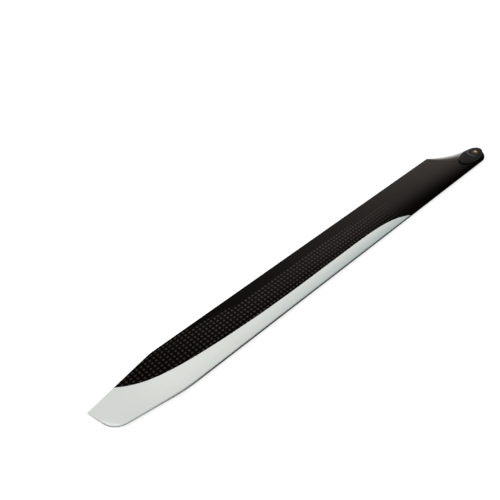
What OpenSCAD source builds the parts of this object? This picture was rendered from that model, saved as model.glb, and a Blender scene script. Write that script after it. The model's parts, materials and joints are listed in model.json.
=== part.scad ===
// Main rotor blade of a radio-controlled helicopter, lying flat.
// The origin is the centre of the blade bolt on the chord plane: +X runs along the span
// to the tip, +Y runs to the leading edge and +Z runs up along the bolt.

/* [Planform] */
// Span from the bolt axis to the outer end of the tip
span = 360; // [320:1:420]
// Chord of the straight part of the blade
chord = 34.2; // [32:0.1:38]
// Distance from the bolt axis to the leading edge
lead_offset = 9.4; // [8.6:0.1:10.4]
// Distance from the bolt axis to the root end
root_reach = 8.4; // [7.6:0.1:9.4]
// Distance from the bolt axis to where the round root end leaves the leading edge
root_blend = 3.3; // [2:0.1:5]
// Distance from the bolt axis to where the root end passes into the hollow behind it
hollow_start = 0.7; // [0:0.1:1.6]
// Distance from the bolt axis to the corner where the hollow meets the trailing edge
root_corner = 31.4; // [27:0.1:38]

/* [Section] */
// Greatest thickness of the straight part
thickness = 4.4; // [3.8:0.1:5]
// Thickness left at the trailing edge and at the edge of the hollow
trailing_thickness = 0.5; // [0.3:0.05:0.8]
// Width over which the rounding along the edges of the hollow would level out
hollow_round = 12; // [10:0.1:14]
// Height at which it would level out, above the faces that it runs out on
hollow_rise = 2.6; // [2.4:0.05:3]

/* [Tip] */
// Length of the tapered tip along the span
tip_length = 46.5; // [40:0.5:56]
// Half the length over which the edges bend into the tip
tip_blend = 8; // [4:0.5:12]
// Angle by which the leading edge sweeps back over the tip
tip_sweep = 9; // [5:0.5:12]
// Distance by which the trailing edge comes forward over the tip
tip_rise = 8.3; // [6:0.1:10]
// Angle by which the end of the tip is raked from square
tip_rake = 13.7; // [9:0.1:18]
// Radius of the forward corner of the tip
tip_radius = 12; // [8:0.5:13]
// Width of the flat on the sharp rear corner of the tip
tip_flat = 0.8; // [0.5:0.1:1.5]

/* [Root pads] */
// Thickness over both pads, which is the gap of the blade grip
root_thickness = 7; // [5.8:0.1:8]
// Length of a pad along the span
pad_length = 28.4; // [24:0.2:30]
// Width of a pad along the chord
pad_width = 13.2; // [11:0.2:14]
// Distance from the root end to the inner end of a pad
pad_margin = 0.5; // [0.4:0.1:1.6]
// Bevel round the face of a pad
pad_bevel = 0.3; // [0.1:0.05:0.4]

/* [Bushing] */
// Diameter of the blade bolt
bolt_diameter = 3; // [2.5:0.5:4]
// Clearance of the bolt in the bushing, on the diameter
bolt_clearance = 0.1; // [0.1:0.05:0.4]
// Wall of the bushing
bushing_wall = 1; // [0.6:0.1:1.4]
// Depth of the ends of the bushing below the faces of the pads
bushing_recess = 0.1; // [0.05:0.05:0.3]

/* [Hidden] */

// Steps along the chord on each face, through the tip's bend, round its corner and along its end
section_steps = 24;
bend_steps = 6;
corner_steps = 14;
end_steps = 10;
// Steps of each half of the root outline and of the rounding's profile
root_steps = 36;
round_steps = 12;
// Sides of a pad outline, of a bore and of a turned cutter
pad_sides = 72;
bore_sides = 64;
turned_sides = 180;
// Amount by which a cutter reaches past what it cuts
overcut = 2;
// Place of the greatest thickness, as a share of the chord
crest = 0.3;

// Edges of the straight part and the start of the tip
trailing_edge = lead_offset - chord;
tip_start = span - tip_length;
tip_trailing = trailing_edge + tip_rise;

// Root end: half an ellipse that leaves the leading edge at root_blend
end_long = root_reach + root_blend;
join_share = (root_blend - hollow_start) / end_long;
join_rest = sqrt(1 - join_share ^ 2);

// Hollow: an arc that goes on from the root end along its slope and ends at the root corner
hollow_y = -lead_offset * join_rest;
hollow_angle = atan(lead_offset / end_long * join_share / join_rest);
hollow_run = [root_corner - hollow_start, hollow_y - trailing_edge];
hollow_turn = 2 * (atan(hollow_run[1] / hollow_run[0]) - hollow_angle);
hollow_radius = norm(hollow_run) / (2 * sin(hollow_turn / 2));
hollow_centre = [hollow_start, hollow_y] - hollow_radius * [sin(hollow_angle), cos(hollow_angle)];

// Centre of the round corner between the swept leading edge and the raked end
corner_lead = lead_offset + tip_start * tan(tip_sweep) - tip_radius / cos(tip_sweep);
corner_end = span + (tip_trailing + tip_flat) * tan(tip_rake) - tip_radius / cos(tip_rake);
corner_x = (corner_end - corner_lead * tan(tip_rake)) / (1 - tan(tip_sweep) * tan(tip_rake));
corner_y = corner_lead - corner_x * tan(tip_sweep);
corner_turn = 90 - tip_rake - tip_sweep;

pad_inset = root_reach - pad_margin;
bushing_bore = bolt_diameter + bolt_clearance;
bushing_outer = bushing_bore + 2 * bushing_wall;
bushing_length = root_thickness - 2 * bushing_recess;

// Distance past the start of the tip, with a smooth bend in place of the kink
function past(x) =
    let (d = min(tip_blend, max(-tip_blend, x - tip_start)) + tip_blend)
    d ^ 2 / (4 * tip_blend) + max(0, x - tip_start - tip_blend);

// Leading edge before the corner is rounded, and trailing edge, at a place along the span
function swept_lead(x) = lead_offset - past(x) * tan(tip_sweep);
function trail(x) = trailing_edge + past(x) / tip_length * tip_rise;

// Half thickness of a symmetric section of thickness t, at a share s of its chord
function half_section(s, t) =
    5 * (t - crest * trailing_thickness)
        * (0.2969 * sqrt(s) - 0.126 * s - 0.3516 * s ^ 2 + 0.2843 * s ^ 3 - 0.1036 * s ^ 4)
    + s * trailing_thickness / 2;

// Thickness where the section starts at a leading edge y: it falls off round the tip's end
function local_thickness(x, y) =
    let (whole = swept_lead(x) - trail(x), left = min(1, (y - trail(x)) / whole))
    thickness * whole / chord * sqrt(left * (2 - left));

// Section at a place along the span, from the upper trailing edge round the nose to the lower
function section(x, y) = [
    for (i = [-section_steps : section_steps])
        let (s = (1 - cos(180 * i / section_steps)) / 2)
        [x, y - s * (y - trail(x)), -sign(i) * half_section(s, local_thickness(x, y))]
];

// Places where the sections start, along the leading edge and round the tip
nose_line = concat(
    [[-root_reach - overcut, lead_offset]],
    [for (i = [0 : bend_steps])
        let (x = tip_start + tip_blend * (2 * i / bend_steps - 1))
        [x, swept_lead(x)]],
    [for (i = [0 : corner_steps])
        let (a = tip_sweep + corner_turn * i / corner_steps)
        [corner_x + tip_radius * sin(a), corner_y + tip_radius * cos(a)]],
    [for (i = [1 : end_steps])
        let (
            share = (1 - i / end_steps) ^ 2,
            start_y = corner_y + tip_radius * sin(tip_rake),
            y = tip_trailing + tip_flat + share * (start_y - tip_trailing - tip_flat)
        )
        [span - (y - tip_trailing - tip_flat) * tan(tip_rake), y]]
);

// Closed solid through a list of rings with equal numbers of points
module loft(rings) {
    count = len(rings[0]);
    last = (len(rings) - 1) * count;
    polyhedron(
        points = [for (ring = rings) each ring],
        faces = concat(
            [[for (i = [count - 1 : -1 : 0]) i]],
            [for (k = [0 : count : last - 1], i = [0 : count - 1])
                [k + i, k + (i + 1) % count, k + (i + 1) % count + count, k + i + count]],
            [[for (i = [0 : count - 1]) last + i]]
        ),
        convexity = 4
    );
}

module blade_form() {
    loft([for (p = nose_line) section(p[0], p[1])]);
}

// Everything outside the round root end and the hollow behind it
module root_waste() {
    root_end = [for (i = [0 : root_steps])
        let (a = 90 - (90 + acos(join_share)) * i / root_steps)
        [root_blend - end_long * cos(a), lead_offset * sin(a)]];
    hollow = [for (i = [1 : root_steps])
        let (a = hollow_angle + (hollow_turn + overcut) * i / root_steps)
        hollow_centre + hollow_radius * [sin(a), cos(a)]];
    outer = [
        [root_corner + 2 * overcut, trailing_edge - 2 * overcut],
        [-root_reach - 2 * overcut, trailing_edge - 2 * overcut],
        [-root_reach - 2 * overcut, lead_offset + overcut],
        [root_blend, lead_offset + overcut]
    ];
    linear_extrude(thickness + 2 * overcut, center = true)
        polygon(concat(root_end, hollow, outer));
}

// What the rounding takes off the upper edge of the hollow: a profile that rises from the edge
// to the face by a square, turned about the centre of the hollow's arc
module hollow_rounding() {
    edge = trailing_thickness / 2;
    profile = [for (i = [0 : round_steps])
        let (left = 1 - i / round_steps)
        [hollow_radius + hollow_round * (1 - left), edge + hollow_rise * (1 - left ^ 2)]];
    outer = [
        [hollow_radius + hollow_round, thickness],
        [hollow_radius - overcut, thickness],
        [hollow_radius - overcut, edge - 2 * hollow_rise / hollow_round * overcut]
    ];
    translate([hollow_centre[0], hollow_centre[1], 0])
        rotate_extrude($fn = turned_sides)
            polygon(concat(profile, outer));
}

module bushing_hole() {
    cylinder(h = root_thickness + 2 * overcut, d = bushing_outer, center = true, $fn = bore_sides);
}

// The blade over its whole length, with the roundings of the hollow on both faces
module rounded_form() {
    difference() {
        blade_form();
        hollow_rounding();
        mirror([0, 0, 1])
            hollow_rounding();
    }
}

// Oval outline of a pad at a height, drawn in by an inset
function pad_ring(z, inset) = [
    for (i = [0 : pad_sides - 1])
        let (a = -360 * i / pad_sides)
        [
            pad_length / 2 - pad_inset + (pad_length / 2 - inset) * cos(a),
            (pad_width / 2 - inset) * sin(a),
            z
        ]
];

// Plate with its face up, bedded on the upper side of the blade
module root_pad() {
    face = root_thickness / 2;
    difference() {
        loft([pad_ring(0, 0), pad_ring(face - pad_bevel, 0), pad_ring(face, pad_bevel)]);
        rounded_form();
        bushing_hole();
    }
}

module blade() {
    color([0.07, 0.07, 0.07])
        difference() {
            rounded_form();
            root_waste();
            bushing_hole();
        }
}

module upper_root_pad() {
    color([0.17, 0.16, 0.18])
        root_pad();
}

module lower_root_pad() {
    color([0.17, 0.16, 0.18])
        mirror([0, 0, 1])
            root_pad();
}

module bolt_bushing() {
    color([0.72, 0.53, 0.25])
        difference() {
            cylinder(h = bushing_length, d = bushing_outer, center = true, $fn = bore_sides);
            cylinder(h = bushing_length + overcut, d = bushing_bore, center = true, $fn = bore_sides);
        }
}

blade();
upper_root_pad();
lower_root_pad();
bolt_bushing();
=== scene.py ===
"""Rotor blade round its CAD frame: a woven carbon skin with a painted edge and tip, two root pads, a bolt
bushing, and the studio that they are seen in."""
import json
import math

import bmesh
import bpy
import numpy as np
from bpy.props import FloatProperty, FloatVectorProperty, PointerProperty
from mathutils import Matrix, Vector


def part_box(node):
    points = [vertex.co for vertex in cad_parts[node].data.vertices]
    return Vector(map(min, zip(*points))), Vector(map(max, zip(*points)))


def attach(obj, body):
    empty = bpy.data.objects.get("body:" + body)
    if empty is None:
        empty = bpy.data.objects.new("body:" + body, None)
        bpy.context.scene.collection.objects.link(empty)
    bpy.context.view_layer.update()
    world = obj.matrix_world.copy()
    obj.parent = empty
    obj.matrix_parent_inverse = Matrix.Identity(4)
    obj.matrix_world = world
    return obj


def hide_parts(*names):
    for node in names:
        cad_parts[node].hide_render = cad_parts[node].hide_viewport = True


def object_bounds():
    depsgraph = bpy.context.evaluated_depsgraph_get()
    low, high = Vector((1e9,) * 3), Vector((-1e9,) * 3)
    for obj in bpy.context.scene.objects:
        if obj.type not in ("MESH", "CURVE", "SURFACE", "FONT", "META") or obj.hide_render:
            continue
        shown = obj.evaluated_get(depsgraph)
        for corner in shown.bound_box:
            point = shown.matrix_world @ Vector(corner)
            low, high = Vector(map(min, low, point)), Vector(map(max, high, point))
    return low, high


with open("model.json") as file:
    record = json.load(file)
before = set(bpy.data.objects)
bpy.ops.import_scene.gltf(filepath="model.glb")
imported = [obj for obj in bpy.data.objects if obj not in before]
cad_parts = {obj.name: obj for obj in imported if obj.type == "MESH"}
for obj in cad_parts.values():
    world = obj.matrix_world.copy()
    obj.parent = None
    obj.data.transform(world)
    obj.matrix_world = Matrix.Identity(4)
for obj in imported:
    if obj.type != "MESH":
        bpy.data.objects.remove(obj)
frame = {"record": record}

bl_info = {
    "name": "Rotor blade",
    "version": (1, 0, 0),
    "blender": (4, 5, 0),
    "location": "3D View > Sidebar > Rotor blade",
    "description": "Builds a woven carbon rotor blade with its root pads, bolt bushing and studio",
    "category": "Object",
}

MM = 0.001
TINY = 1e-9
CAD_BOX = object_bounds()
BLADE_LOW, BLADE_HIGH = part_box("blade")
BLADE_MIDDLE = (BLADE_LOW.x + BLADE_HIGH.x) / 2
PAD_LOW, PAD_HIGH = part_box("upper_root_pad")
BUSHING_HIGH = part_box("bolt_bushing")[1]
BOLT_BORE = next(mount for mount in frame["record"]["mounts"] if mount["name"] == "bolt_bore")

# Section: its half thickness is a sum of these factors times the share of the chord to these powers, scaled.
# The crest is the share at which it is thickest.
SECTION_FACTORS = np.array([0.2969, -0.1260, -0.3516, 0.2843, -0.1036])
SECTION_POWERS = np.array([0.5, 1.0, 2.0, 3.0, 4.0])
SECTION_SCALE = 5.0
SECTION_CREST = 0.3

# Stations along the root end, the hollow, the body, the bend into the tip, its sweep, corner and raked end,
# and samples across a face.
END_TURNS = 36
HOLLOW_TURNS = 56
BODY_STEPS = 40
BEND_STEPS = 25
SWEEP_STEPS = 12
CORNER_TURNS = 28
RAKE_STEPS = 20
SECTION_SAMPLES = 56

# Sides of round forms, and steps round the rim of a pad.
PAD_SIDES = 144
RIM_STEPS = 6
BORE_SIDES = 96
FLOOR_SIDES = 64
FLOOR_RINGS = 14

# Paint: powers by which its edge widens and sweeps out, and half the width of that edge in millimetres.
WIDENING_POWER = 5.1
SWEEP_POWER = 9.6
PAINT_EDGE = 0.15

# Paint: where painted shade greys it towards the tip, and where painted shade darkens it as it turns down
# over the nose, less so towards the tip.
# A pair is a start and an end in millimetres. The other values are shares.
PAINT_TIP_SHADE = (308.0, 346.0)
PAINT_TIP_SHADING = 0.75
PAINT_GRAIN = 0.10
PAINT_CLOUDS = 0.06
NOSE_SHADE_ACROSS = (1.0, 8.6)
NOSE_SHADE_MOST = 0.94
NOSE_SHADE_EASES = (140.0, 300.0)
NOSE_SHADE_EASING = 0.70

# Parting line: how far up the bare edge faces, from bare to covered, and where it fades out.
SEAM_FACING = (0.76, 0.93)
SEAM_COVER = 0.9
SEAM_TIP = (285.0, 345.0)
SEAM_TIP_LOSS = 0.6
SEAM_BACK = (-9.0, -3.0)
SEAM_BACK_SHARE = 0.4

# Weave: roundness of a tow's glint, steps of the noise across and along a tow, how that noise dims it, the
# shift of the second direction's noise, and what the sunken tows and the fibres' metal sheen add.
TOW_CROWN = 1.45
FIBRES_ACROSS = 16.0
FIBRES_ALONG = 1.2
FIBRE_DEPTH = 0.9
FIBRE_LEAST = 0.55
FIBRE_SHIFT = 3.0
SUNKEN_SHARE = 0.02
TOW_METAL = 0.3

# Weave: where its painted sheen fades towards the tip and towards the paint, and the two bends of its rear
# border.
TIP_SHEEN_FADES = (262.0, 315.0)
TIP_SHEEN_LOSS = 0.5
SHEEN_MOST = 1.3
SHEEN_FALLS = (-11.0, -1.0)
SHEEN_LOSS = 0.42
BORDER_EDGE = 0.35
BORDER_BEND = 190.0
BORDER_RUN = 75.0
BORDER_POWER = 1.5
BORDER_RISE = 3.2
BORDER_SLANT_START = 251.0
BORDER_SLANT = 0.19

# Skin: its roughness, the clouds in its resin, what paint and parting line take off the clear coat, and
# the shares of tows, grain and polish in its bump.
SKIN_ROUGHNESS = 0.34
SKIN_GRAIN_ROUGHNESS = 0.10
PAINT_SMOOTHNESS = 0.02
CARBON_CLOUDS = 0.3
PAINT_COAT_LOSS = 0.5
SEAM_COAT_LOSS = 0.25
TOW_BUMP = 0.6
GRAIN_BUMP = 0.15
POLISH_BUMP = 0.5

# Pads: step of the fine cloth, then the ring rubbed by the grip, whose lightening is a painted highlight: its
# middle, its edges, the side it shows on and its strength. Last come the painted shade of the front, the
# clouds and the specks.
CLOTH_STEP = 0.55
CLOTH_BUMP = 0.5
RUB_MIDDLE = 1.6
RUB_INNER = (4.2, 4.9)
RUB_OUTER = (5.3, 6.2)
LIT_SIDE_ALONG = 0.75
LIT_SIDE_ACROSS = 0.65
RUB_LIT_SIDE = (0.0, 4.5)
RUB_SPECKS = 0.6
RUB_LEAST = 0.5
RUB_HIGHLIGHT_COVER = 0.8
RUB_SMOOTHNESS = 0.15
PAD_FRONT_SHADE = (0.0, 5.5)
PAD_FRONT_SHADE_SHARE = 0.7
PAD_CLOUDS = 0.5
PAD_SPECKS = 0.2
PAD_ROUGHNESS = 0.62
SPECK_ROUGHNESS = 0.08

# Bushing: step and lean of the turned rings, share of tarnish, and where the painted shade of the mouth
# begins and ends.
TURNED_STEP = 0.11
TURNED_LEAN = 0.6
TARNISH_SHARE = 0.45
MOUTH_SHADE = (2.65, 3.3)
BRASS_ROUGHNESS = 0.52
TARNISH_ROUGHNESS = 0.16

# Floor: its own light, the place along the span about which it is lit, and the distances from there over
# which it turns plain white, in millimetres.
FLOOR_GLOW = 0.84
FLOOR_CENTRE = 170.0
FLOOR_FADES = (300.0, 900.0)
FLOOR_GRAIN = 0.2

# Studio: the power by which the wall brightens, and the edges of the lights as parts of a unit vector.
WALL_POWER = 3.0
WALL_TOP = (0.64, 0.76)
WALL_SIDE = (-0.25, 0.0)
WALL_GAP = (0.909, 1.001)
STRIP_TOP = (0.04, 0.32)
STRIP_SIDE = (0.72, 0.92)
WHITE = (1.0, 1.0, 1.0)


def length(name, description, millimetres):
    """A size in metres, given in millimetres."""
    return FloatProperty(
        name=name, description=description, default=millimetres * MM, min=0.0, precision=5, unit="LENGTH"
    )


def angle(name, description, degrees):
    """An angle, given in degrees."""
    return FloatProperty(name=name, description=description, default=math.radians(degrees), subtype="ANGLE")


def share(name, description, value):
    """A plain number from nothing to a few."""
    return FloatProperty(name=name, description=description, default=value, min=0.0, precision=4)


def colour(name, description, *values):
    """A linear colour: red, green and blue."""
    return FloatVectorProperty(
        name=name, description=description, default=values, subtype="COLOR", size=3, min=0.0, max=1.0
    )


def place(name, description, *metres):
    """A point in metres."""
    return FloatVectorProperty(
        name=name, description=description, default=metres, subtype="XYZ", unit="LENGTH", precision=5
    )


class RotorBladeShape(bpy.types.PropertyGroup):
    """Sizes of the blade: the CAD's own, and those of its finer edges."""

    span: length("Span", "Bolt centre to the far end of the tip", BLADE_HIGH.x / MM)
    chord: length("Chord", "Leading edge to trailing edge", (BLADE_HIGH.y - BLADE_LOW.y) / MM)
    lead_offset: length("Lead offset", "Bolt centre to the leading edge", BLADE_HIGH.y / MM)
    thickness: length("Thickness", "Thickest place of the section", (BLADE_HIGH.z - BLADE_LOW.z) / MM)
    trailing_thickness: length("Trailing thickness", "Height of the trailing edge's wall", 0.5)
    root_reach: length("Root reach", "Bolt centre to the root end", -BLADE_LOW.x / MM)
    root_blend: length("Root blend", "Bolt centre to where the root end leaves the leading edge", 3.3)
    hollow_start: length("Hollow start", "Bolt centre to where the root end passes into the hollow", 0.7)
    root_corner: length("Root corner", "Bolt centre to where the hollow meets the trailing edge", 31.4)
    end_round: length("End round", "Rounding of the edge of the root end", 1.2)
    hollow_round: share("Hollow round", "Width of the hollow's rounded edge, in heights of that edge", 5.2)
    tip_length: length("Tip length", "Length of the swept tip", 46.5)
    lead_blend: length("Leading blend", "Half the length of the leading edge's bend into the tip", 8.0)
    trail_blend: length("Trailing blend", "Half the length of the trailing edge's bend into the tip", 2.0)
    tip_rise: length("Tip rise", "How far the trailing edge runs forward over the tip", 8.3)
    tip_radius: length("Tip radius", "Radius of the tip's leading corner", 12.0)
    tip_flat: length("Tip flat", "Width of the section at the trailing corner", 0.8)
    tip_sweep: angle("Tip sweep", "Sweep of the tip's leading edge", 9.0)
    tip_rake: angle("Tip rake", "Slant of the tip's end", 13.7)


class RotorBladeRoot(bpy.types.PropertyGroup):
    """Sizes of the pads and the bushing."""

    pad_bevel: length("Pad bevel", "Rounding of the pad's rim", 0.3)
    bushing_chamfer: length("Bushing chamfer", "Chamfer at the mouths of the bushing", 0.8)
    bolt_radius: length("Bolt bore radius", "Radius of the bushing's bore", BOLT_BORE["dims"]["r_mm"])


class RotorBladeFinish(bpy.types.PropertyGroup):
    """Colours and pattern of the skin, the pads and the bushing."""

    carbon: colour("Carbon", "Resin and fibres between the bright tows", 0.0012, 0.0008, 0.0005)
    resin: colour("Resin clouds", "Clouds in the resin over the weave", 0.0024, 0.0018, 0.0013)
    tow: colour("Tow", "Tows that lie square to the light", 0.076, 0.0665, 0.058)
    paint: colour("Paint", "Paint of the leading edge and the tip", 0.79, 0.812, 0.768)
    # The grey paint colour serves the paint's grain and also the painted shade at the tip's end.
    paint_grain_and_tip_shade: colour("Grey paint", "The paint's grain, and its tone at the tip's end", 0.67, 0.70, 0.67)
    # The paint turn colour is painted shade over the nose.
    paint_nose_shade: colour("Paint turn", "The paint where it turns down over the nose", 0.55, 0.625, 0.62)
    seam: colour("Seam", "Bare parting line along the edges", 0.03, 0.03, 0.031)
    pad: colour("Pad", "Root pad laminate", 0.0060, 0.0052, 0.0066)
    pad_cloud: colour("Pad clouds", "Paler clouds and specks of the laminate", 0.0135, 0.012, 0.0145)
    # The pad front colour is painted shade.
    pad_front_shade: colour("Pad front", "The laminate towards the leading edge", 0.0022, 0.0020, 0.0022)
    # The rubbed pad colour is a painted highlight on the grip's wear.
    pad_rub_highlight: colour("Rubbed pad", "The ring that the grip has rubbed", 0.13, 0.125, 0.135)
    brass: colour("Brass", "Bolt bushing", 0.56, 0.47, 0.31)
    tarnish: colour("Tarnish", "Tarnish on the brass", 0.44, 0.35, 0.21)
    # The mouth colour is painted shade round the mouths of the bore.
    mouth_shade: colour("Mouth", "Dull brass round the mouths of the bore", 0.25, 0.20, 0.135)
    weave_span: length("Weave along the span", "Step from one bright tow to the next along the span", 2.92)
    weave_chord: length("Weave along the chord", "Step from one bright tow to the next along the chord", 2.74)
    weave_row: length("Weave row", "How far the first row lies behind the bolt", 1.0)
    weave_start: length("Weave start", "Where the weave is in full view, from the bolt", 176.0)
    weave_fade: length("Weave fade", "Length over which the weave comes into view", 106.0)
    border: length("Plain border", "How far the woven field reaches behind the bolt", 16.0)
    paint_start: length("Paint start", "Where the paint begins on the leading edge, from the bolt", 103.0)
    paint_run: length("Paint run", "Length over which the paint widens", 83.0)
    paint_line: length("Paint line", "How far ahead of the bolt the paint's straight edge lies", 0.95)
    paint_bend: length("Paint bend", "Where the paint's edge begins to bow, from the bolt", 210.0)
    paint_end: length("Paint end", "Where the paint reaches the trailing edge, from the bolt", 341.0)
    paint_bow: length("Paint bow", "How far the paint's edge bows back by its end", 9.06)
    paint_sweep: length("Paint sweep", "How far the paint's edge sweeps back by its end", 11.48)


class RotorBladeStage(bpy.types.PropertyGroup):
    """Camera, lamps, studio and floor."""

    camera_place: place("Camera", "Where the camera stands", 0.39913, 0.16350, 0.25543)
    camera_aim: place("Aim", "Point in the middle of the picture", 0.21146, -0.04822, 0.0)
    camera_roll: angle("Roll", "Turn of the camera about its view", -2.78)
    camera_lens: FloatProperty(
        name="Lens", description="Focal length in millimetres", default=39.593, min=1.0, precision=3
    )
    camera_sensor: FloatProperty(
        name="Sensor", description="Width of the sensor in millimetres", default=36.0, min=1.0, precision=3
    )
    camera_near: length("Near limit", "Nearest distance that the camera sees", 10.0)
    key_place: place("Key", "Where the key lamp stands", 1.25, 0.02, 1.62)
    key_size: length("Key size", "Side of the key lamp", 1400.0)
    key_level: share("Key level", "Brightness that the key gives a white face under it", 0.82)
    fill_place: place("Fill", "Where the fill lamp stands", 0.16, 0.25, 1.3)
    fill_size: length("Fill size", "Side of the fill lamp", 900.0)
    fill_level: share("Fill level", "Brightness that the fill gives a white face under it", 0.14)
    wall: share("Wall", "Brightness of the studio's wall beyond the root", 0.97)
    wall_colour: colour("Wall colour", "Warm white of the wall beyond the root", 1.0, 0.89, 0.81)
    gap: FloatVectorProperty(
        name="Gap",
        description="Way to the middle of the dark gap in the wall",
        default=(-0.628, -0.185, 0.756),
        subtype="DIRECTION",
    )
    backdrop: share("Backdrop", "Brightness of the low lit strip behind the blade", 2.5)
    ceiling: share("Ceiling", "Brightness of the studio above the walls", 0.007)
    floor: colour("Floor", "Floor under the blade", 0.29, 0.29, 0.29)
    floor_grain: colour("Floor grain", "Clouds in the floor", 0.275, 0.275, 0.275)
    floor_inner: length("Inner floor", "Radius of the floor's inmost ring", 50.0)
    floor_outer: length("Outer floor", "Radius of the floor", 12000.0)


def half_section(shape, chord_share, thickness):
    """Half the section's height: the thickness form over the chord's share, plus the trailing edge's wall,
    which grows with that share."""
    terms = np.clip(chord_share, 0.0, 1.0)[..., None] ** SECTION_POWERS
    form = (terms * SECTION_FACTORS).sum(axis=-1)
    full = SECTION_SCALE * (thickness - SECTION_CREST * shape.trailing_thickness)
    return full * form + chord_share * shape.trailing_thickness / 2


def circle(sides):
    """Angles of the corners of a round form."""
    return np.linspace(0.0, 2 * math.pi, sides, endpoint=False)


def grid_faces(rows, columns, close_rows=False):
    """Quads of a grid whose columns close on themselves, and whose rows do too where it is a ring."""
    row = np.arange(rows if close_rows else rows - 1)[:, None]
    column = np.arange(columns)[None, :]
    after_row = (row + 1) % rows
    after_column = (column + 1) % columns
    corners = (
        row * columns + column,
        row * columns + after_column,
        after_row * columns + after_column,
        after_row * columns + column,
    )
    return np.stack([np.broadcast_to(c, (row.size, columns)) for c in corners], axis=-1).reshape(-1, 4)


def add_piece(name, points, faces, merge=1e-7):
    """A mesh object from an array of points and a list of faces, doubles merged, faces turned outwards."""
    mesh = bpy.data.meshes.new(name)
    mesh.from_pydata(np.asarray(points).reshape(-1, 3).tolist(), [], faces)
    work = bmesh.new()
    work.from_mesh(mesh)
    bmesh.ops.remove_doubles(work, verts=work.verts, dist=merge)
    bmesh.ops.dissolve_degenerate(work, edges=work.edges, dist=merge)
    bmesh.ops.recalc_face_normals(work, faces=work.faces)
    work.to_mesh(mesh)
    work.free()
    piece = bpy.data.objects.new(name, mesh)
    bpy.context.scene.collection.objects.link(piece)
    return piece


def shade(piece, degrees):
    """Smooth shading, broken where two faces meet at more than the angle."""
    mesh = piece.data
    mesh.polygons.foreach_set("use_smooth", np.ones(len(mesh.polygons), dtype=bool))
    mesh.set_sharp_from_angle(angle=math.radians(degrees))
    mesh.update()


def dress(piece, material, node):
    """Gives a piece its material, hangs it on the root's body, and hides the CAD node that it stands for."""
    piece.data.materials.clear()
    piece.data.materials.append(material)
    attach(piece, "root")
    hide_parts(node)


def root_hollow(shape):
    """Centre and radius of the hollow's arc, and the angles between which it runs.

    It leaves the root end's ellipse along its slope at the hollow's start, and passes through the root
    corner."""
    long_half = shape.root_reach + shape.root_blend
    back = (shape.root_blend - shape.hollow_start) / long_half
    rest = math.sqrt(1 - back**2)
    start = math.atan(shape.lead_offset / long_half * back / rest)
    run = shape.root_corner - shape.hollow_start
    fall = shape.chord - shape.lead_offset - shape.lead_offset * rest
    turn = 2 * (math.atan2(fall, run) - start)
    radius = math.hypot(run, fall) / (2 * math.sin(turn / 2))
    centre_x = shape.hollow_start - radius * math.sin(start)
    centre_y = -shape.lead_offset * rest - radius * math.cos(start)
    return centre_x, centre_y, radius, start, start + turn


def past_tip_start(shape, along, blend):
    """Distance past the start of the tip, with a square run in place of the kink."""
    past = along - (shape.span - shape.tip_length)
    bend = (np.clip(past, -blend, blend) + blend) ** 2 / (4 * blend)
    return bend + np.maximum(past - blend, 0.0)


def swept_lead(shape, along):
    """The leading edge, bent back at the start of the tip by its sweep, before its corner is rounded."""
    return shape.lead_offset - past_tip_start(shape, along, shape.lead_blend) * math.tan(shape.tip_sweep)


def root_outline(shape):
    """Stations of the root: place, front and back. The root end is half an ellipse about the bolt. The hollow
    is an arc that goes on from it to the trailing edge, while the front follows the ellipse and then the
    leading edge."""
    centre_x, centre_y, radius, first, last = root_hollow(shape)
    long_half = shape.root_reach + shape.root_blend
    end_share = (shape.root_blend - shape.hollow_start) / long_half
    turn = np.linspace(0.0, math.acos(end_share), END_TURNS, endpoint=False)
    end_along = shape.root_blend - long_half * np.cos(turn)
    end_front = shape.lead_offset * np.sin(turn)
    turn = np.linspace(first, last, HOLLOW_TURNS)
    hollow_along = centre_x + radius * np.sin(turn)
    hollow_back = centre_y + radius * np.cos(turn)
    to_lead = np.clip((shape.root_blend - hollow_along) / long_half, 0.0, 1.0)
    hollow_front = shape.lead_offset * np.sqrt(1 - to_lead**2)
    along = np.concatenate([end_along, hollow_along])
    front = np.concatenate([end_front, hollow_front])
    back = np.concatenate([-end_front, hollow_back])
    return along, front, back


def tip_outline(shape):
    """Stations of the tip: place, front, back and thickness. The front bends and sweeps back, turns by the
    corner's radius and follows the raked end. The thickness shrinks as a quarter ellipse with what is left of
    the chord."""
    sweep = math.tan(shape.tip_sweep)
    rake = math.tan(shape.tip_rake)
    tip_start = shape.span - shape.tip_length
    trailing = shape.lead_offset - shape.chord
    end_across = trailing + shape.tip_rise + shape.tip_flat

    lead_line = shape.lead_offset + tip_start * sweep - shape.tip_radius / math.cos(shape.tip_sweep)
    end_line = shape.span + end_across * rake - shape.tip_radius / math.cos(shape.tip_rake)
    corner_along = (end_line - lead_line * rake) / (1 - sweep * rake)
    corner_across = lead_line - corner_along * sweep
    turn = np.linspace(shape.tip_sweep, math.pi / 2 - shape.tip_rake, CORNER_TURNS)
    around = np.stack([np.sin(turn), np.cos(turn)])
    corner = np.array([[corner_along], [corner_across]]) + shape.tip_radius * around

    bend_end = tip_start + shape.lead_blend
    bent = np.linspace(tip_start - shape.lead_blend, bend_end, BEND_STEPS)[1:]
    straight = np.linspace(bend_end, corner[0, 0], SWEEP_STEPS, endpoint=False)[1:]
    lead = np.concatenate([bent, straight])
    swept = np.stack([lead, swept_lead(shape, lead)])
    way = 1 - np.linspace(1.0, 0.0, RAKE_STEPS)[1:] ** 2
    last = np.array([[shape.span], [end_across]])
    raked = corner[:, -1:] + (last - corner[:, -1:]) * way

    along, front = np.hstack([swept, corner, raked])
    back = trailing + past_tip_start(shape, along, shape.trail_blend) / shape.tip_length * shape.tip_rise
    whole = swept_lead(shape, along) - back
    left = np.clip((front - back) / whole, 0.0, 1.0)
    thickness = shape.thickness * whole / shape.chord * np.sqrt(left * (2 - left))
    return along, front, back, thickness


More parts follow.
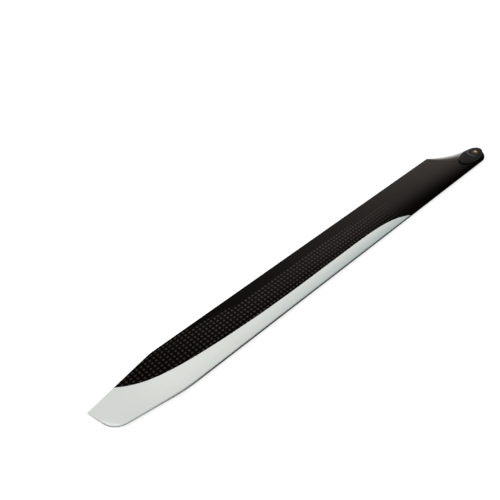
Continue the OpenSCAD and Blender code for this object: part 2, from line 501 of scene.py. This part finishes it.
def blade_stations(shape):
    """Stations along the span, as columns: place, front, back, nose and tail of the section, thickness.

    Before the tip, the section runs from the leading edge to the trailing edge, also where the root's outline
    cuts it off. Over the tip, it runs from the front to the back."""
    trailing = shape.lead_offset - shape.chord
    body_end = shape.span - shape.tip_length - shape.lead_blend
    root_along, root_front, root_back = root_outline(shape)
    body_along = np.linspace(shape.root_corner, body_end, BODY_STEPS)[1:]
    tip_along, tip_front, tip_back, tip_thickness = tip_outline(shape)
    body = np.ones_like(body_along)
    plain = np.ones(root_along.size + body_along.size)
    columns = (
        [root_along, body_along, tip_along],
        [root_front, shape.lead_offset * body, tip_front],
        [root_back, trailing * body, tip_back],
        [shape.lead_offset * plain, tip_front],
        [trailing * plain, tip_back],
        [shape.thickness * plain, tip_thickness],
    )
    return [np.concatenate(parts)[:, None] for parts in columns]


def root_edge_share(shape, along, across, drop):
    """Share of the drop to the cut edge at the root that is still to come, by the distance to the cut. It is
    a quarter ellipse at the front of the root end, and passes into a wide square fall along the hollow."""
    centre_x, centre_y, radius = root_hollow(shape)[:3]
    long_half = shape.root_reach + shape.root_blend
    lengthwise = (along - shape.root_blend) / long_half
    sideways = across / shape.lead_offset
    ring = np.maximum(np.hypot(lengthwise, sideways), TINY)
    slope = np.hypot(lengthwise / long_half, sideways / shape.lead_offset) / ring
    past_start = along > shape.hollow_start
    by_end = (along < shape.root_blend) & ~(past_start & (across < 0.0))
    to_end = np.where(by_end, (1 - ring) / slope, np.inf)
    hollow_end = shape.root_corner + shape.hollow_round * shape.trailing_thickness
    by_hollow = past_start & (along < hollow_end)
    to_hollow = np.where(by_hollow, np.hypot(along - centre_x, across - centre_y) - radius, np.inf)
    backward = np.clip((shape.lead_offset / 4 - across) / shape.lead_offset, 0.0, 1.0)
    width = shape.end_round + np.maximum(shape.hollow_round * drop - shape.end_round, 0.0) * backward
    away = np.clip(1 - np.maximum(np.minimum(to_end, to_hollow), 0.0) / width, 0.0, 1.0)
    return (1 - away**2) ** ((1 + backward) / 2)


def eased_height(shape, height, along, across):
    """The section's height, brought down near the root's cut edge to that of the trailing edge's wall."""
    edge = np.minimum(height, shape.trailing_thickness / 2)
    return edge + (height - edge) * root_edge_share(shape, along, across, height - edge)


def skin_height(shape, along, across):
    """Height of the blade's face over the chord plane, before the tip."""
    height = half_section(shape, (shape.lead_offset - across) / shape.chord, shape.thickness)
    return eased_height(shape, height, along, across)


def blade_surface(shape):
    """The skin as rings across the blade, one for each station: the upper face from back to front and the
    lower face back again. The height is the section's, at the share of the chord that a point lies behind
    the nose."""
    station, front, back, nose, tail, thickness = blade_stations(shape)
    across_share = (1 - np.cos(np.linspace(0.0, math.pi, SECTION_SAMPLES)))[None, :] / 2
    across = front - across_share * (front - back)
    along = np.broadcast_to(station, across.shape)
    height = half_section(shape, (nose - across) / np.maximum(nose - tail, TINY), thickness)
    height = eased_height(shape, height, along, across)
    upper = np.stack([along, across, height], axis=-1)
    lower = np.stack([along, across, -height], axis=-1)
    rings = np.concatenate([upper[:, ::-1], lower], axis=1)
    rows, columns = rings.shape[:2]
    faces = grid_faces(rows, columns).tolist()
    faces.append(list(range((rows - 1) * columns, rows * columns)))
    return rings, faces


def drill(piece, radius, reach):
    """Takes a round hole along the bolt's axis out of a piece, and keeps the result as its mesh."""
    turn = circle(BORE_SIDES)
    ring = np.stack([radius * np.cos(turn), radius * np.sin(turn)], axis=-1)
    points = np.concatenate([np.c_[ring, np.full(BORE_SIDES, level)] for level in (-reach, reach)])
    faces = grid_faces(2, BORE_SIDES).tolist()
    faces += [list(range(BORE_SIDES)), list(range(BORE_SIDES, 2 * BORE_SIDES))]
    drill_bit = add_piece("drill_bit", points, faces)
    cut = piece.modifiers.new("bolt_hole", "BOOLEAN")
    cut.operation = "DIFFERENCE"
    cut.solver = "EXACT"
    cut.object = drill_bit
    evaluated = piece.evaluated_get(bpy.context.evaluated_depsgraph_get())
    drilled = bpy.data.meshes.new_from_object(evaluated)
    piece.modifiers.clear()
    piece.data = drilled
    bpy.data.objects.remove(drill_bit)


def pad_surface(shape, root, side):
    """A root pad as rings round its edge: from the bushing out over the face, round the rim, down to the
    blade and back to the bushing. The edge is an ellipse, and the foot follows the blade's section."""
    centre = (PAD_LOW.x + PAD_HIGH.x) / 2
    long_half = (PAD_HIGH.x - PAD_LOW.x) / 2
    wide_half = (PAD_HIGH.y - PAD_LOW.y) / 2
    face = PAD_HIGH.z
    turn = circle(PAD_SIDES)

    def edge(inset):
        """The oval, drawn in by an inset."""
        along = centre + (long_half - inset) * np.cos(turn)
        across = (wide_half - inset) * np.sin(turn)
        return np.stack([along, across], axis=-1)

    outline = edge(0.0)
    outward = np.arctan2(outline[:, 1], outline[:, 0])
    bore = BUSHING_HIGH.x * np.stack([np.cos(outward), np.sin(outward)], axis=-1)
    rings = [np.c_[bore, np.full(PAD_SIDES, face)]]
    for lean in np.linspace(0.0, math.pi / 2, RIM_STEPS):
        inset = root.pad_bevel * (1 - math.sin(lean))
        level = face - root.pad_bevel * (1 - math.cos(lean))
        rings.append(np.c_[edge(inset), np.full(PAD_SIDES, level)])
    for foot in (outline, bore):
        rings.append(np.c_[foot, skin_height(shape, foot[:, 0], foot[:, 1])])
    points = np.stack(rings)
    points[..., 2] *= side
    return points, grid_faces(len(rings), PAD_SIDES, close_rows=True).tolist()


def bushing_surface(root):
    """The bushing as a lathe form: a ring section with chamfered corners, carried round the bolt's axis."""
    outer = BUSHING_HIGH.x
    top = BUSHING_HIGH.z
    bore = root.bolt_radius
    chamfer = root.bushing_chamfer
    small = chamfer / 8
    half_radius = np.array([bore, bore + chamfer, outer - small, outer])
    half_level = np.array([top - chamfer, top, top, top - small])
    radius = np.concatenate([half_radius, half_radius[::-1]])
    level = np.concatenate([half_level, -half_level[::-1]])
    turn = circle(BORE_SIDES)
    rings = np.stack(
        [
            radius[:, None] * np.cos(turn),
            radius[:, None] * np.sin(turn),
            np.broadcast_to(level[:, None], (radius.size, BORE_SIDES)),
        ],
        axis=-1,
    )
    return rings, grid_faces(radius.size, BORE_SIDES, close_rows=True).tolist()


class Wire:
    """A shader value. Arithmetic on it adds Math nodes to its finish."""

    def __init__(self, finish, socket):
        self.finish = finish
        self.socket = socket

    def beside(self, name):
        """Another output of the same node."""
        return Wire(self.finish, self.socket.node.outputs[name])

    def math(self, operation, *others):
        """A Math node on this value and the others."""
        return self.finish.node("ShaderNodeMath", {"operation": operation}, dict(enumerate((self, *others))))

    def reflected(self, operation, first):
        """A Math node on a number and this value, in that order."""
        return self.finish.node("ShaderNodeMath", {"operation": operation}, {0: first, 1: self})

    def __add__(self, other):
        return self.math("ADD", other)

    __radd__ = __add__

    def __sub__(self, other):
        return self.math("SUBTRACT", other)

    def __rsub__(self, other):
        return self.reflected("SUBTRACT", other)

    def __mul__(self, other):
        return self.math("MULTIPLY", other)

    __rmul__ = __mul__

    def __truediv__(self, other):
        return self.math("DIVIDE", other)

    def __rtruediv__(self, other):
        return self.reflected("DIVIDE", other)

    def __pow__(self, other):
        return self.math("POWER", other)

    def __abs__(self):
        return self.math("ABSOLUTE")

    def sine(self):
        """The sine of this value."""
        return self.math("SINE")

    def most(self, other):
        """The greater of this value and another."""
        return self.math("MAXIMUM", other)

    def rise(self, start, end):
        """A smooth step from nothing at start to one at end."""
        sockets = {"Value": self, "From Min": start, "From Max": end}
        return self.finish.node("ShaderNodeMapRange", {"interpolation_type": "SMOOTHSTEP"}, sockets)


class Finish:
    """The node tree of a material or the world."""

    def __init__(self, tree):
        self.tree = tree
        tree.nodes.clear()

    def node(self, kind, settings=None, sockets=None, output=0):
        """Adds a node: its settings first, then a value or a link for each socket. Gives back one output."""
        made = self.tree.nodes.new(kind)
        for key, value in (settings or {}).items():
            setattr(made, key, value)
        for key, value in (sockets or {}).items():
            if isinstance(value, Wire):
                self.tree.links.new(value.socket, made.inputs[key])
            else:
                made.inputs[key].default_value = value
        return Wire(self, made.outputs[output]) if len(made.outputs) else None

    def position(self):
        """The point on the piece in millimetres: along the span, to the leading edge, up, and as a vector."""
        point = self.node("ShaderNodeTexCoord", output="Object")
        scaled = self.scaled(point, 1 / MM)
        along = self.node("ShaderNodeSeparateXYZ", sockets={0: scaled})
        return along, along.beside("Y"), along.beside("Z"), scaled

    def scaled(self, vector, factor):
        """A vector or colour times a number."""
        return self.node("ShaderNodeVectorMath", {"operation": "SCALE"}, {0: vector, "Scale": factor})

    def vector(self, x, y, z):
        """A vector from its three parts."""
        return self.node("ShaderNodeCombineXYZ", sockets={0: x, 1: y, 2: z})

    def noise(self, vector, scale, detail=2.0):
        """Smooth noise about one half."""
        return self.node("ShaderNodeTexNoise", sockets={"Vector": vector, "Scale": scale, "Detail": detail})

    def blend(self, factor, first, second):
        """A colour between two others."""
        settings = {"data_type": "RGBA", "blend_type": "MIX", "clamp_factor": True}
        sockets = {0: factor, 6: opaque(first), 7: opaque(second)}
        return self.node("ShaderNodeMix", settings, sockets, output=2)

    def bump(self, height, distance):
        """The normal, tilted by a height that is worth a distance in metres."""
        return self.node("ShaderNodeBump", sockets={"Height": height, "Distance": distance, "Strength": 1.0})

    def close(self, sockets):
        """The surface shader with these sockets, led to the output."""
        shader = self.node("ShaderNodeBsdfPrincipled", sockets=sockets)
        self.node("ShaderNodeOutputMaterial", sockets={"Surface": shader})


def opaque(value):
    """A colour with its alpha, or a wire as it is."""
    return value if isinstance(value, Wire) else (*value[:3], 1.0)


def new_material(name):
    """An empty node material, with its finish."""
    material = bpy.data.materials.new(name)
    material.use_nodes = True
    return material, Finish(material.node_tree)


def paint_cover(look, along, across):
    """One where the blade is painted. The paint's edge falls from the leading edge by a power of the way left
    to its straight run, then bows back by a square and sweeps to the trailing edge by a high power of the way
    out."""
    straight = (look.paint_start + look.paint_run) / MM
    reach = (look.paint_end - look.paint_bend) / MM
    line = look.paint_line / MM
    lead = BLADE_HIGH.y / MM
    widening = ((straight - along) / (look.paint_run / MM)).most(0.0) ** WIDENING_POWER
    outward = ((along - look.paint_bend / MM) / reach).most(0.0)
    bowed = outward**2 * (look.paint_bow / MM)
    swept = outward**SWEEP_POWER * (look.paint_sweep / MM)
    edge = line + widening * (lead - line) - bowed - swept
    return (across - edge).rise(-PAINT_EDGE, PAINT_EDGE)


def woven_tows(finish, look, along, across):
    """Glint of the raised and of the sunken tows of a plain weave laid at half a right angle, and their
    height. The product of two sines along the tows is above nothing on every second crossing, where the tows
    of one direction lie on top. Noise that is drawn out along each tow gives it its fibres."""
    spanwise = along / (look.weave_span / MM)
    chordwise = (across + look.weave_row / MM) / (look.weave_chord / MM)
    forward = spanwise + chordwise
    rearward = spanwise - chordwise
    crossing = (forward * math.pi).sine() * (rearward * math.pi).sine()
    raised = crossing.most(0.0)
    sunken = (crossing * -1).most(0.0)
    first = finish.noise(finish.vector(forward * FIBRES_ACROSS, rearward * FIBRES_ALONG, 0.0), 1.0)
    second = finish.noise(finish.vector(forward * FIBRES_ALONG, rearward * FIBRES_ACROSS, FIBRE_SHIFT), 1.0)
    bright = raised**TOW_CROWN * (first * FIBRE_DEPTH + FIBRE_LEAST)
    dim = sunken * (second * FIBRE_DEPTH + FIBRE_LEAST)
    return bright, dim, raised.most(sunken)


def woven_field_and_sheen(look, along, across):
    """Strength of the weave: it comes into view along the span and ends at a border that bends forward
    towards the root, then follows the trailing edge and slants back to it before the tip. A painted sheen
    makes it dimmer towards the tip and towards the paint."""
    start = look.weave_start / MM
    # Painted sheen: the weave's glint dims towards the tip here, and towards the paint on the next line.
    seen = along.rise(start - look.weave_fade / MM, start) * (1 - along.rise(*TIP_SHEEN_FADES) * TIP_SHEEN_LOSS)
    sheen = SHEEN_MOST - across.rise(*SHEEN_FALLS) * SHEEN_LOSS
    forward = ((BORDER_BEND - along) / BORDER_RUN).most(0.0) ** BORDER_POWER * BORDER_RISE
    slant = (along - BORDER_SLANT_START).most(0.0) * BORDER_SLANT
    border = forward - slant - look.border / MM
    return seen * sheen * (across - border).rise(-BORDER_EDGE, BORDER_EDGE)


def parting_line(finish, painted, along, across):
    """One where the parting line shows through the paint: on the edges that face aside, fading towards the
    tip and the trailing edge."""
    normal = finish.node("ShaderNodeNewGeometry", output="Normal")
    facing = abs(finish.node("ShaderNodeSeparateXYZ", sockets={0: normal}, output="Z"))
    ahead = across.rise(*SEAM_BACK) * (1 - SEAM_BACK_SHARE) + SEAM_BACK_SHARE
    fading = (1 - along.rise(*SEAM_TIP) * SEAM_TIP_LOSS) * ahead
    return (1 - facing.rise(*SEAM_FACING)) * painted * fading


def skin_material(look):
    """Clear coated skin: black resin with a woven field, white paint over the nose and tip, and a bare
    parting line."""
    material, finish = new_material("blade_skin_finish")
    along, across, _, point = finish.position()
    clouds = finish.noise(point, scale=0.05, detail=3.0)
    grain = finish.noise(point, scale=2.2, detail=4.0)
    polish = finish.noise(point, scale=0.9)
    painted = paint_cover(look, along, across)
    bare = parting_line(finish, painted, along, across)
    bright, dim, relief = woven_tows(finish, look, along, across)
    field = woven_field_and_sheen(look, along, across)

    # The tows' glint, with its painted sheen, goes into the base colour here.
    woven = (bright + dim * SUNKEN_SHARE) * field
    carbon = finish.blend(woven, look.carbon, look.tow)
    carbon = finish.blend(clouds * CARBON_CLOUDS, carbon, look.resin)
    # Painted shade: the paint greys towards the tip's end, and darkens and cools where it turns down over the
    # nose. Grain and clouds are the paint's own.
    grain_and_tip_shade = grain * PAINT_GRAIN + clouds * PAINT_CLOUDS + along.rise(*PAINT_TIP_SHADE) * PAINT_TIP_SHADING
    paint = finish.blend(grain_and_tip_shade, look.paint, look.paint_grain_and_tip_shade)
    turned = across.rise(*NOSE_SHADE_ACROSS) * (NOSE_SHADE_MOST - along.rise(*NOSE_SHADE_EASES) * NOSE_SHADE_EASING)
    paint = finish.blend(turned, paint, look.paint_nose_shade)
    skin = finish.blend(painted, carbon, paint)
    skin = finish.blend(bare * SEAM_COVER, skin, look.seam)
    height = relief * field * (1 - painted) * TOW_BUMP + grain * GRAIN_BUMP + polish * POLISH_BUMP
    finish.close(
        {
            "Base Color": skin,
            "Roughness": SKIN_ROUGHNESS + grain * SKIN_GRAIN_ROUGHNESS - painted * PAINT_SMOOTHNESS,
            "Metallic": woven * (1 - painted) * TOW_METAL,
            "IOR": 1.45,
            "Specular IOR Level": 0.0,
            "Coat Weight": 1.0 - painted * PAINT_COAT_LOSS - bare * SEAM_COAT_LOSS,
            "Coat Roughness": 0.15,
            "Coat IOR": 1.5,
            "Normal": finish.bump(height, distance=0.004 * MM),
        }
    )
    return material


def pad_material(look):
    """Matte laminate: a fine cloth under the resin, specks of resin, painted shade towards the leading edge,
    and a ring rubbed by the grip round the bolt, on the side towards the trailing edge and the tip, lightened
    there by a painted highlight."""
    material, finish = new_material("root_pad_finish")
    along, across, _, point = finish.position()
    cloth = (along * (math.pi / CLOTH_STEP)).sine() * (across * (math.pi / CLOTH_STEP)).sine()
    specks = finish.noise(point, scale=3.5, detail=4.0)
    clouds = finish.noise(point, scale=0.35)
    away = ((along - RUB_MIDDLE) ** 2 + across * across) ** 0.5
    # The ring shows only on the side towards the key lamp: a painted highlight on the wear of the grip.
    lit_side = (along * LIT_SIDE_ALONG - across * LIT_SIDE_ACROSS).rise(*RUB_LIT_SIDE)
    ring = away.rise(*RUB_INNER) * (1 - away.rise(*RUB_OUTER))
    rubbed = ring * (specks * RUB_SPECKS + RUB_LEAST) * lit_side
    base = finish.blend(clouds * PAD_CLOUDS + specks * PAD_SPECKS, look.pad, look.pad_cloud)
    # Painted shade: the laminate is darker towards the leading edge.
    base = finish.blend(across.rise(*PAD_FRONT_SHADE) * PAD_FRONT_SHADE_SHARE, base, look.pad_front_shade)
    base = finish.blend(rubbed * RUB_HIGHLIGHT_COVER, base, look.pad_rub_highlight)
    finish.close(
        {
            "Base Color": base,
            "Roughness": PAD_ROUGHNESS - rubbed * RUB_SMOOTHNESS + specks * SPECK_ROUGHNESS,
            "Specular IOR Level": 0.3,
            "Normal": finish.bump(cloth * CLOTH_BUMP + specks, distance=0.02 * MM),
        }
    )
    return material


def brass_material(look):
    """Turned brass: fine rings from the tool, a little tarnish, and mouths darkened by painted shade."""
    material, finish = new_material("bushing_finish")
    along, across, up, point = finish.position()
    away = (along * along + across * across) ** 0.5
    rings = ((away + up * TURNED_LEAN) * (2 * math.pi / TURNED_STEP)).sine()
    tarnish = finish.noise(point, scale=0.9, detail=3.0)
    base = finish.blend(tarnish * TARNISH_SHARE, look.brass, look.tarnish)
    # Painted shade: the brass darkens towards its end faces round the mouths of the bore.
    base = finish.blend(abs(up).rise(*MOUTH_SHADE), base, look.mouth_shade)
    finish.close(
        {
            "Base Color": base,
            "Metallic": 1.0,
            "Roughness": BRASS_ROUGHNESS + tarnish * TARNISH_ROUGHNESS,
            "Normal": finish.bump(rings, distance=0.004 * MM),
        }
    )
    return material


class RotorBladeBuildSkin(bpy.types.Operator):
    """Build the blade: its skin, drilled for the bushing, with weave and paint"""

    bl_idname = "rotor_blade.build_skin"
    bl_label = "Blade skin"

    def execute(self, context):
        shape = context.scene.rotor_blade_shape
        look = context.scene.rotor_blade_finish
        points, faces = blade_surface(shape)
        skin = add_piece("carbon_blade", points, faces, merge=1e-6)
        drill(skin, BUSHING_HIGH.x, 2 * shape.thickness)
        shade(skin, degrees=32.0)
        dress(skin, skin_material(look), "blade")
        return {"FINISHED"}


class RotorBladeBuildPads(bpy.types.Operator):
    """Build the upper and the lower root pad"""

    bl_idname = "rotor_blade.build_pads"
    bl_label = "Root pads"

    def execute(self, context):
        shape = context.scene.rotor_blade_shape
        root = context.scene.rotor_blade_root
        laminate = pad_material(context.scene.rotor_blade_finish)
        for name, node, side in (("upper_pad", "upper_root_pad", 1.0), ("lower_pad", "lower_root_pad", -1.0)):
            pad = add_piece(name, *pad_surface(shape, root, side))
            shade(pad, degrees=40.0)
            dress(pad, laminate, node)
        return {"FINISHED"}


class RotorBladeBuildBushing(bpy.types.Operator):
    """Build the brass bushing of the bolt hole"""

    bl_idname = "rotor_blade.build_bushing"
    bl_label = "Bolt bushing"

    def execute(self, context):
        root = context.scene.rotor_blade_root
        look = context.scene.rotor_blade_finish
        bushing = add_piece("brass_bushing", *bushing_surface(root))
        shade(bushing, degrees=30.0)
        dress(bushing, brass_material(look), "bolt_bushing")
        return {"FINISHED"}


def floor_material(stage):
    """A white floor that shows the blade's shadow near it and is plain white further off."""
    material, finish = new_material("floor_finish")
    along, across, _, point = finish.position()
    away = ((along - FLOOR_CENTRE) ** 2 + across * across) ** 0.5
    path = finish.node("ShaderNodeLightPath", output="Is Camera Ray")
    seen = path.most(path.beside("Is Glossy Ray")).most(path.beside("Is Transmission Ray"))
    glow = seen * (FLOOR_GLOW + away.rise(*FLOOR_FADES) * (1 - FLOOR_GLOW))
    grain = finish.noise(point, scale=0.02)
    matte_colour = finish.blend(grain * FLOOR_GRAIN, stage.floor, stage.floor_grain)
    matte = finish.node("ShaderNodeBsdfDiffuse", sockets={"Color": matte_colour})
    light = finish.node("ShaderNodeEmission", sockets={"Color": glow, "Strength": 1.0})
    both = finish.node("ShaderNodeAddShader", sockets={0: matte, 1: light})
    finish.node("ShaderNodeOutputMaterial", sockets={"Surface": both})
    return material


def floor_surface(stage, level):
    """A round floor: rings about the middle of the blade, each wider than the last by the same factor."""
    turn = circle(FLOOR_SIDES)
    radius = np.geomspace(stage.floor_inner, stage.floor_outer, FLOOR_RINGS)[:, None]
    rings = np.stack(
        [
            BLADE_MIDDLE + radius * np.cos(turn),
            radius * np.sin(turn),
            np.full((FLOOR_RINGS, FLOOR_SIDES), level),
        ],
        axis=-1,
    )
    faces = grid_faces(FLOOR_RINGS, FLOOR_SIDES).tolist()
    faces.append(list(range(FLOOR_SIDES)))
    return rings, faces


def look_from(stand, aim, roll):
    """A camera's or lamp's matrix: it looks from its stand to an aim, level, then turned about its view."""
    stand = Vector(stand)
    ahead = (Vector(aim) - stand).normalized()
    level_right = ahead.cross(Vector((0.0, 0.0, 1.0))).normalized()
    level_up = level_right.cross(ahead)
    right = level_right * math.cos(roll) + level_up * math.sin(roll)
    upward = level_up * math.cos(roll) - level_right * math.sin(roll)
    return Matrix.Translation(stand) @ Matrix((right, upward, -ahead)).transposed().to_4x4()


def add_lamp(name, stand, size, level):
    """A square lamp that points at the middle of the blade. Its power gives a white upward face there the
    stated brightness: pi squared times the distance squared, over the cosine of the angle at which the light
    falls."""
    aim = Vector((BLADE_MIDDLE, 0.0, 0.0))
    way = Vector(stand) - aim
    cosine = way.z / way.length
    lamp = bpy.data.lights.new(name, "AREA")
    lamp.shape = "SQUARE"
    lamp.size = size
    lamp.energy = math.pi**2 * way.length**2 * level / cosine
    lamp_object = bpy.data.objects.new(name, lamp)
    lamp_object.matrix_world = look_from(stand, aim, 0.0)
    bpy.context.scene.collection.objects.link(lamp_object)


def studio_world(stage):
    """A warm wall beyond the root with a dark gap in it, a low lit strip behind the blade and a dark ceiling,
    and plain white where the camera sees past the floor. The wall brightens by a power of how far a direction
    points beyond the root, and ends softly at its top and side."""
    world = bpy.data.worlds.new("studio")
    world.use_nodes = True
    bpy.context.scene.world = world
    finish = Finish(world.node_tree)
    direction = finish.node("ShaderNodeTexCoord", output="Generated")
    along = finish.node("ShaderNodeSeparateXYZ", sockets={0: direction})
    across = along.beside("Y")
    height = along.beside("Z")
    towards_gap = along * stage.gap[0] + across * stage.gap[1] + height * stage.gap[2]
    open_wall = (1 - height.rise(*WALL_TOP)) * (1 - across.rise(*WALL_SIDE))
    lit = (1 - towards_gap.rise(*WALL_GAP)) * open_wall
    wall = (along * -1).most(0.0) ** WALL_POWER * lit * stage.wall
    ahead = (Vector(stage.camera_aim) - Vector(stage.camera_place)).xy.normalized()
    behind = (along * ahead.x + across * ahead.y).rise(*STRIP_SIDE)
    strip = (1 - height.rise(*STRIP_TOP)) * behind * stage.backdrop + stage.ceiling
    lights = {0: finish.scaled(stage.wall_colour, wall), 1: finish.vector(strip, strip, strip)}
    studio = finish.node("ShaderNodeVectorMath", {"operation": "ADD"}, lights)
    seen = finish.node("ShaderNodeLightPath", output="Is Camera Ray")
    shown = finish.blend(seen, studio, WHITE)
    light = finish.node("ShaderNodeBackground", sockets={"Color": shown, "Strength": 1.0})
    finish.node("ShaderNodeOutputWorld", sockets={"Surface": light})


class RotorBladeBuildStage(bpy.types.Operator):
    """Set the camera, the lamps, the world and the floor"""

    bl_idname = "rotor_blade.build_stage"
    bl_label = "Stage"

    def execute(self, context):
        scene = context.scene
        stage = scene.rotor_blade_stage
        lens = bpy.data.cameras.new("camera")
        lens.sensor_width = stage.camera_sensor
        lens.lens = stage.camera_lens
        lens.clip_start = stage.camera_near
        camera = bpy.data.objects.new("camera", lens)
        camera.matrix_world = look_from(stage.camera_place, stage.camera_aim, stage.camera_roll)
        scene.collection.objects.link(camera)
        scene.camera = camera

        add_lamp("key", stage.key_place, stage.key_size, stage.key_level)
        add_lamp("fill", stage.fill_place, stage.fill_size, stage.fill_level)
        studio_world(stage)

        floor = add_piece("floor", *floor_surface(stage, CAD_BOX[0].z))
        floor.data.materials.append(floor_material(stage))
        scene.view_settings.view_transform = "Standard"
        return {"FINISHED"}


BUILDERS = (RotorBladeBuildSkin, RotorBladeBuildPads, RotorBladeBuildBushing, RotorBladeBuildStage)
GROUPS = {
    "rotor_blade_shape": RotorBladeShape,
    "rotor_blade_root": RotorBladeRoot,
    "rotor_blade_finish": RotorBladeFinish,
    "rotor_blade_stage": RotorBladeStage,
}


class RotorBladePanel(bpy.types.Panel):
    """Lists the sizes, the colours and the builders"""

    bl_idname = "VIEW3D_PT_rotor_blade"
    bl_label = "Rotor blade"
    bl_space_type = "VIEW_3D"
    bl_region_type = "UI"
    bl_category = "Rotor blade"

    def draw(self, context):
        for name, group in GROUPS.items():
            listed = self.layout.box()
            for key in group.__annotations__:
                listed.prop(getattr(context.scene, name), key)
        for builder in BUILDERS:
            self.layout.operator(builder.bl_idname)


CLASSES = (*GROUPS.values(), *BUILDERS, RotorBladePanel)


def register():
    """Registers the classes, and gives the scene its groups."""
    for each in CLASSES:
        bpy.utils.register_class(each)
    for name, group in GROUPS.items():
        setattr(bpy.types.Scene, name, PointerProperty(type=group))


def unregister():
    """Takes the groups and the classes away again."""
    for name in GROUPS:
        delattr(bpy.types.Scene, name)
    for each in reversed(CLASSES):
        bpy.utils.unregister_class(each)


def main():
    register()
    bpy.ops.rotor_blade.build_skin()
    bpy.ops.rotor_blade.build_pads()
    bpy.ops.rotor_blade.build_bushing()
    bpy.ops.rotor_blade.build_stage()


if __name__ == "__main__":
    main()
